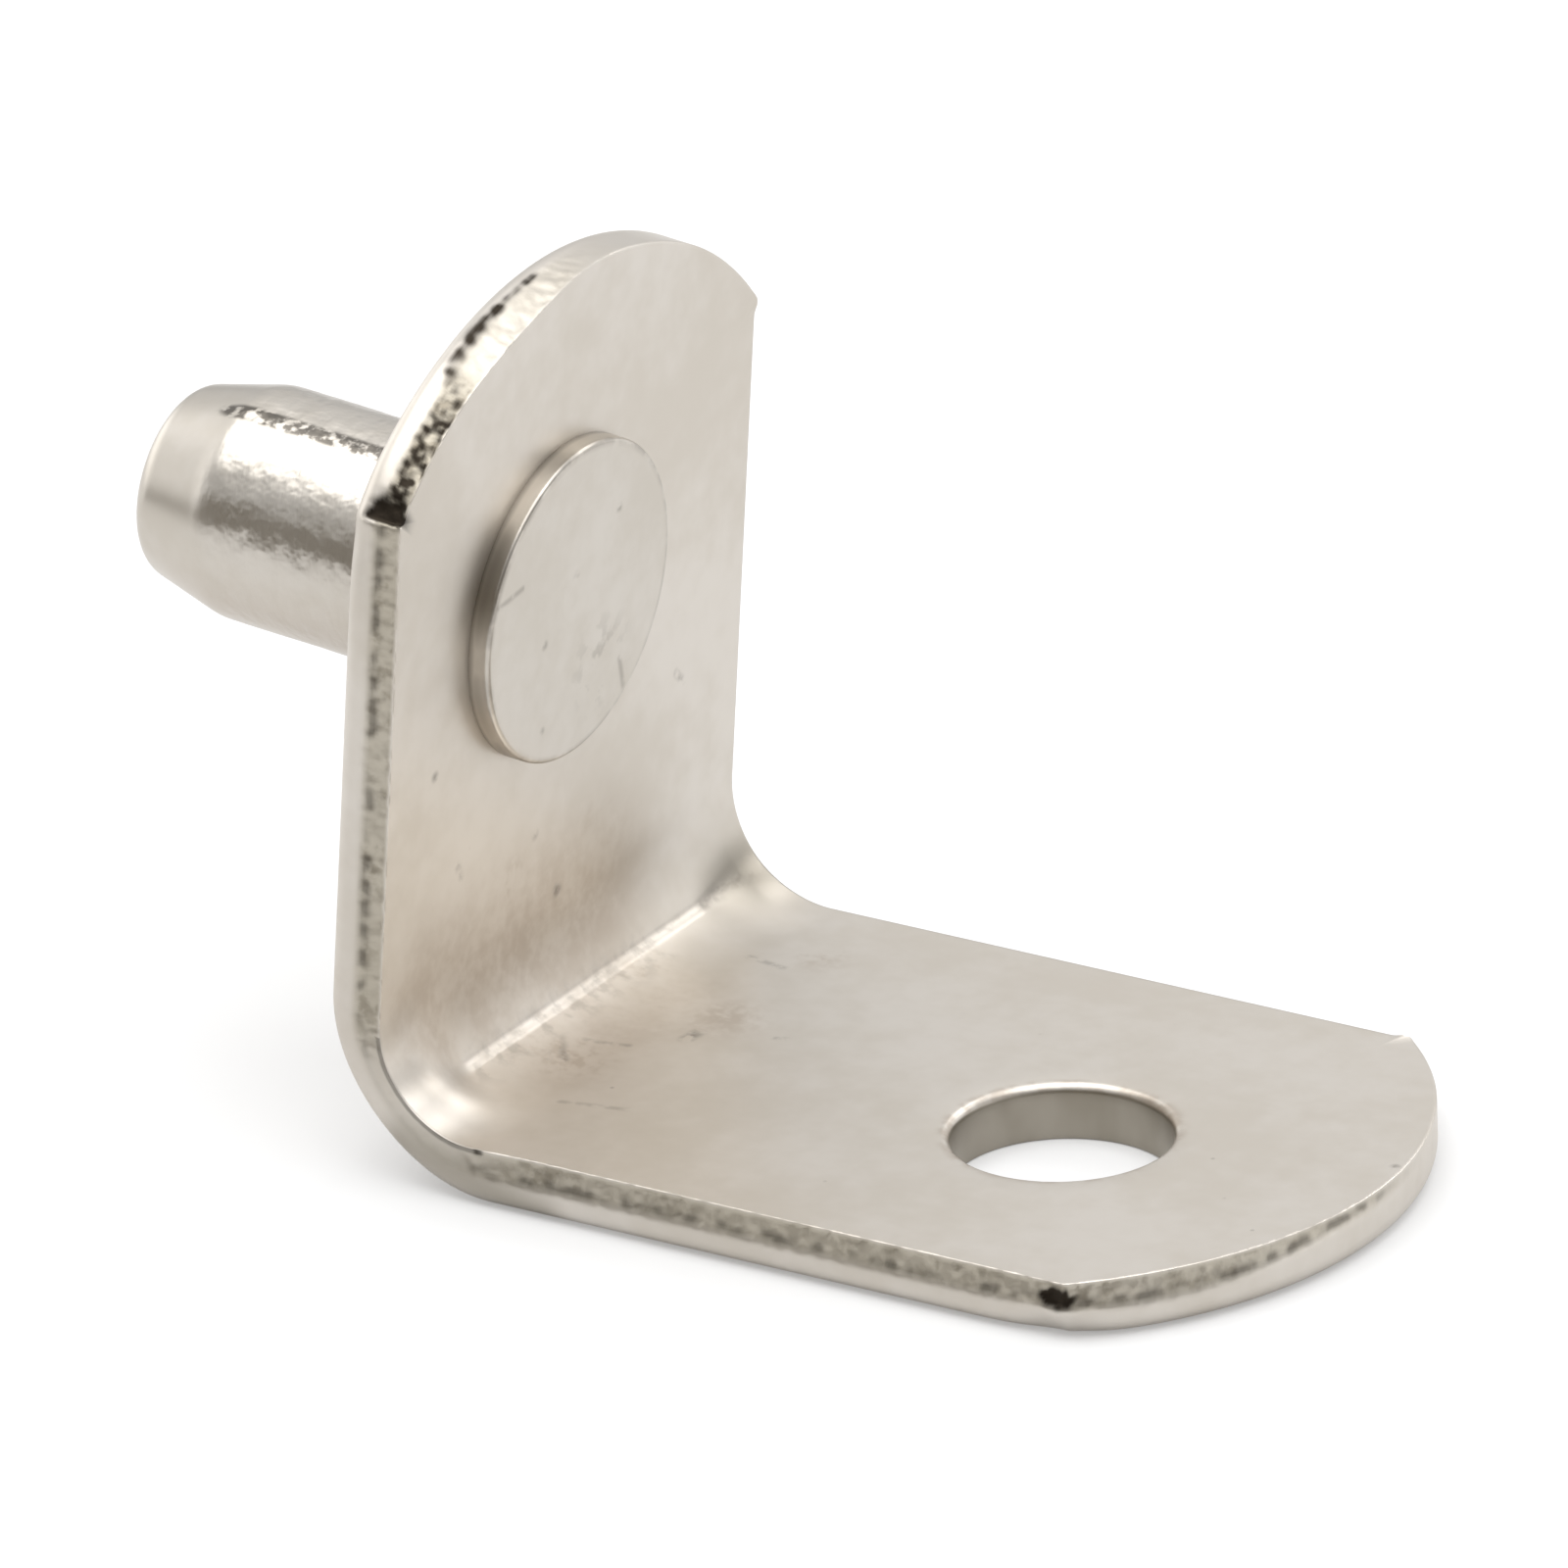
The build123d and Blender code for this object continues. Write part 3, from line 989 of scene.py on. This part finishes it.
# Painted shade and dirt in the seam round the head, and painted shade on the near side of its rim
# wall.
head_seam_dirt_and_shade = wire.strokes(lines(below_head, [
    (-0.6, -3.5, -2.3, -2.8, 0.34, 0.6), (-2.3, -2.8, -3.4, -1.2, 0.34, 0.9),
    (2.6, -2.5, 0.4, -3.55, 0.34, 0.6),
]))
head_seam_dirt_and_shade = wire.mask("crevice").math("MAXIMUM", head_seam_dirt_and_shade)
wire.lay(GRIME_AND_SHADE, head_seam_dirt_and_shade * 0.75)
wire.lay(GRIME_AND_SHADE, wire.mask("head_edge") * worn * 0.45)

along_x, _, _ = split_up(wire.tree, wire.place.socket)
on_body = step_up(along_x, -6.2 * MM, -5.2 * MM) * (1.0 - step_up(along_x, -0.3 * MM, 0.0))
drawn = wire.noise(0.9, 3.0, stretch=(4.0, 1.0, 1.0))
wobble = wire.noise(2.4, 2.0) * (on_body * 1.2 + 0.05) + drawn * on_body
wire.finish(wobble, 0.7, 0.04 * MM)

# %% Bend the strip
make_plain(strip, bend, {
    "Turn": math.radians(95.0), "Inside radius": 2.2 * MM, "Heel radius": 3.7 * MM,
    "Crease turn": math.radians(47.0), "Crease radius": 0.46 * MM,
    "Upright turn": math.radians(28.0), "Upright radius": 3.5 * MM, "Leg radius": 4.6 * MM,
    "Crease half": 0.45 * MM, "Arc half": 2.6 * MM,
    "Near fade": 2.6 * MM, "Far fade": 2.6 * MM, "Heel pinch": 0.02,
    "Torn depth": 0.09 * MM, "Torn grain": 4000.0, "Seed": 4.0, "Metal": plate.metal,
})
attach(strip, "root")
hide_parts("bracket")

# %% [markdown]
# The pin is turned on one axis, so its shape is a half outline and a rule that spins it. It
# was headed from wire between two dies, which leaves a rough line of flash along the body.


# %% Half outline of the pin
def rounded(corners, step):
    """A line through (along, radius, rounding) corners, with arcs and short steps."""
    line = []
    for k, (along, radius, rounding) in enumerate(corners):
        here = Vector((along, radius))
        if rounding == 0.0:
            line.append(here)
            continue
        before_it = (Vector(corners[k - 1][:2]) - here).normalized()
        after_it = (Vector(corners[k + 1][:2]) - here).normalized()
        half = before_it.angle(after_it) / 2
        reach = rounding / math.tan(half)
        centre = here + (before_it + after_it).normalized() * (rounding / math.sin(half))
        first = (here + before_it * reach - centre).normalized()
        last = (here + after_it * reach - centre).normalized()
        for j in range(9):
            line.append(centre + first.slerp(last, j / 8) * rounding)
    dense = [line[0]]
    for point in line[1:]:
        pieces = max(1, math.ceil((point - dense[-1]).length / step))
        start = dense[-1]
        dense += [start.lerp(point, j / pieces) for j in range(1, pieces + 1)]
    return dense


half_outline = rounded([
    (PIN_LENGTH, 0.0, 0.0), (PIN_LENGTH, 1.95 * MM, 0.5 * MM),
    (PIN_LENGTH - 1.9 * MM, PIN_RADIUS, 1.5 * MM), (0.0, PIN_RADIUS, 0.0),
    (0.0, TENON_RADIUS, 0.0), (-METAL, TENON_RADIUS, 0.0), (-METAL, HEAD_RADIUS, 0.0),
    (-METAL - HEAD_THICKNESS, HEAD_RADIUS, 0.1 * MM), (-METAL - HEAD_THICKNESS, 0.0, 0.0),
], 0.09 * MM)
profile = bpy.data.meshes.new("rivet_pin")
profile.from_pydata([(p.x, p.y, 0.0) for p in half_outline],
                    [(k, k + 1) for k in range(len(half_outline) - 1)], [])
rivet_pin = add_object("rivet_pin", profile)
print("half outline points:", len(half_outline))

# %% Tree that spins the half outline
spin, shape, v = new_tree("spin and flash", [
    "Segments", "Flash angle", "Flash width", "Flash height", "Flash from", "Flash to",
    "Ripple", "Ripple grain", "Grain", "Seed", "Metal",
])
count = add_node(spin, "GeometryNodeAttributeDomainSize", {"Geometry": shape})
rows = Number(spin, count.outputs["Point Count"])
grid = add_node(spin, "GeometryNodeMeshGrid", {
    "Size X": rows - 1.0, "Size Y": v["Segments"],
    "Vertices X": rows, "Vertices Y": v["Segments"] + 1.0})
gx, gy, _ = coordinates(spin)
station = gx + (rows - 1.0) * 0.5
angle = (gy / v["Segments"] + 0.5) * (2 * math.pi)
here = spin.nodes.new("GeometryNodeInputPosition")
lookup = add_node(spin, "GeometryNodeSampleIndex", {
    "Geometry": shape, "Value": here.outputs[0], "Index": station.math("ROUND"),
}, data_type="FLOAT_VECTOR", domain="POINT")
along, radius, _ = split_up(spin, lookup.outputs["Value"])
away = (angle - v["Flash angle"]).math("ABSOLUTE") * PIN_RADIUS
flash = (1.0 - away / v["Flash width"]).smooth()
flash = flash * ((along - v["Flash from"]) / (0.3 * MM)).smooth()
flash = flash * ((v["Flash to"] - along) / (0.8 * MM)).smooth()
seam = (1.0 - (along + METAL).math("ABSOLUTE") / (0.16 * MM)).smooth()
head_edge = (1.0 - (radius - (HEAD_RADIUS - 0.05 * MM)).math("ABSOLUTE") / (0.10 * MM)).smooth()
head_edge = head_edge * ((along + METAL + 0.3 * MM) / (-0.1 * MM)).clamp()
shape = grid.outputs["Mesh"]
body = (along / (0.5 * MM)).smooth() * ((6.3 * MM - along) / (1.0 * MM)).smooth()
for label, value in (("flash", flash), ("crevice", seam), ("head_edge", head_edge),
                     ("body", body)):
    keep = add_node(spin, "GeometryNodeStoreNamedAttribute", {
        "Geometry": shape, "Name": label, "Value": value}, data_type="FLOAT", domain="POINT")
    shape = keep.outputs["Geometry"]
turned = set_position(
    spin, shape,
    along * -out_leg.x + radius * angle.sin() * up_leg.x,
    radius * angle.cos() * -1.0,
    along * -out_leg.z + radius * angle.sin() * up_leg.z)
weld = add_node(spin, "GeometryNodeMergeByDistance", {
    "Geometry": turned, "Distance": 0.0005 * MM})
relief = (speckle(spin, v["Grain"], v["Seed"]) + 0.2) * v["Flash height"]
relief *= attribute(spin, "flash")
relief += speckle(spin, v["Ripple grain"], v["Seed"]) * v["Ripple"] * attribute(spin, "body")
normal = spin.nodes.new("GeometryNodeInputNormal")
lifted = push_along(spin, weld.outputs["Geometry"], normal.outputs[0], relief)
finish_tree(spin, lifted, v["Metal"])

# %% Spin the pin
make_plain(rivet_pin, spin, {
    "Segments": 224, "Flash angle": math.radians(71.5), "Flash width": 0.34 * MM,
    "Flash height": 0.028 * MM, "Flash from": 0.1 * MM, "Flash to": 6.8 * MM,
    "Ripple": 0.011 * MM, "Ripple grain": 2200.0,
    "Grain": 6000.0, "Seed": 2.0, "Metal": wire.metal,
})
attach(rivet_pin, "root")
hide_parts("pin")

# %% [markdown]
# A light table in a white room, as for a product photo. Two small back lights make the
# highlights inside the bend and on the arc over the pin. A dark card in front, unseen by the
# camera, gives the near edges something dark to mirror.

# %% The white room
ROOM, ROOM_BACK, ROOM_TOP = 0.58, 0.26, 0.35
UNDER_SHARE, SHADE_SHARE, HORIZON, LEFT_WALL = 0.5, 0.35, 1.4, 1.2
world = bpy.data.worlds.new("studio")
bpy.context.scene.world = world
world.use_nodes = True
tree = world.node_tree
room = tree.nodes["Background"]
room.inputs["Color"].default_value = (1.0, 1.0, 1.0, 1.0)
facing = tree.nodes.new("ShaderNodeTexCoord")
to_right, to_back, to_top = split_up(tree, facing.outputs["Generated"])
glow = ROOM + step_up(to_back, -0.6, 0.3) * ROOM_BACK + step_up(to_top, 0.5, 0.9) * ROOM_TOP
glow = glow * (UNDER_SHARE + step_up(to_top, 0.02, 0.28) * (1.0 - UNDER_SHARE))
shaded = step_up(to_right, 0.15, 0.4) * step_up(to_top, 0.15, 0.3)
glow = glow * (1.0 - shaded * SHADE_SHARE)
horizon = (1.0 - (to_top - 0.04).math("ABSOLUTE") / 0.22).smooth()
glow = glow + horizon * step_up(to_back, -0.5, 0.3) * step_up(to_right, -0.1, 0.4) * HORIZON
glow = glow + step_up(to_right * -1.0, 0.72, 0.92) * LEFT_WALL
tree.links.new(glow.socket, room.inputs["Strength"])
bpy.context.scene.view_settings.view_transform = "Standard"
print("room nodes:", len(tree.nodes))


# %% Soft lights
def soft_box(name, place, aim, width, height, brightness):
    """A rectangular soft light with an even face, as bright as asked."""
    light = bpy.data.lights.new(name, "AREA")
    light.shape, light.size, light.size_y = "RECTANGLE", width, height
    light.energy = brightness * math.pi * width * height
    lamp = bpy.data.objects.new(name, light)
    direction = Vector(aim) - Vector(place)
    lamp.matrix_world = (Matrix.Translation(place)
                         @ direction.to_track_quat("-Z", "Y").to_matrix().to_4x4())
    bpy.context.scene.collection.objects.link(lamp)


soft_box("overhead_light", (0.0, -0.035, 0.36), (0, -0.035, 0), 0.62, 0.36, 1.9)
soft_box("back_light", (0.21, 0.385, 0.24), (0, 0, 0), 0.13, 0.11, 5.0)
soft_box("second_back_light", (0.03, 0.355, 0.29), (0, 0, 0), 0.10, 0.09, 5.5)
print("lights:", len(bpy.data.lights))

# %% [markdown]
# The floor is a pale light table a hair under the part. It glows a little more for the camera,
# so it comes out white, and is clear from below, so that the underside can be seen.

# %% Light table
FLOOR_HALF, FLOOR_GAP = 2.0, 0.01 * MM
FLOOR_GLOW, CAMERA_GLOW = 0.21, 0.08
floor_z = cad_box[0][2] - FLOOR_GAP
sheet = bpy.data.meshes.new("floor")
sheet.from_pydata([(FLOOR_HALF * a, FLOOR_HALF * b, floor_z)
                   for a, b in ((-1, -1), (1, -1), (1, 1), (-1, 1))], [], [(0, 1, 2, 3)])
floor = add_object("floor", sheet)
paper, tree, cover = new_material("light_table")
cover.inputs["Base Color"].default_value = (0.55, 0.55, 0.55, 1)
cover.inputs["Roughness"].default_value = 0.9
cover.inputs["Emission Color"].default_value = (1, 1, 1, 1)
seen = tree.nodes.new("ShaderNodeLightPath")
glow = Number(tree, seen.outputs["Is Camera Ray"]) * CAMERA_GLOW + FLOOR_GLOW
tree.links.new(glow.socket, cover.inputs["Emission Strength"])
from_below = tree.nodes.new("ShaderNodeNewGeometry").outputs["Backfacing"]
clear = tree.nodes.new("ShaderNodeBsdfTransparent")
either = add_node(tree, "ShaderNodeMixShader", {
    0: from_below, 1: cover.outputs[0], 2: clear.outputs[0]})
tree.links.new(either.outputs[0], tree.nodes["Material Output"].inputs["Surface"])
sheet.materials.append(paper)
print("floor at mm:", round(floor_z / MM, 3))

# %% Dark card
CARD_AWAY, CARD_TOP, CARD_SPREAD = 0.12, 0.056, math.radians(62)
HALF_STEPS = 12  # flat panels on each half of the bowed card
card_points, card_faces = [], []
for k in range(2 * HALF_STEPS + 1):
    t = -math.pi / 2 + CARD_SPREAD * (k / HALF_STEPS - 1)
    edge = (CARD_AWAY * math.cos(t), CARD_AWAY * math.sin(t))
    low = ramp(-math.degrees(t), 125, 149)  # the card's left end is cut lower
    card_points += [(*edge, floor_z), (*edge, floor_z + CARD_TOP * (1.0 - 0.7 * low))]
    if k:
        card_faces.append((2 * k - 2, 2 * k, 2 * k + 1, 2 * k - 1))
card_mesh = bpy.data.meshes.new("dark_card")
card_mesh.from_pydata(card_points, [], card_faces)
card = add_object("dark_card", card_mesh)
black, _, card_shader = new_material("black_card")
card_shader.inputs["Base Color"].default_value = (0.14, 0.12, 0.09, 1)
card_mesh.materials.append(black)
card.visible_camera = card.visible_shadow = False
print("card panels:", len(card_faces))
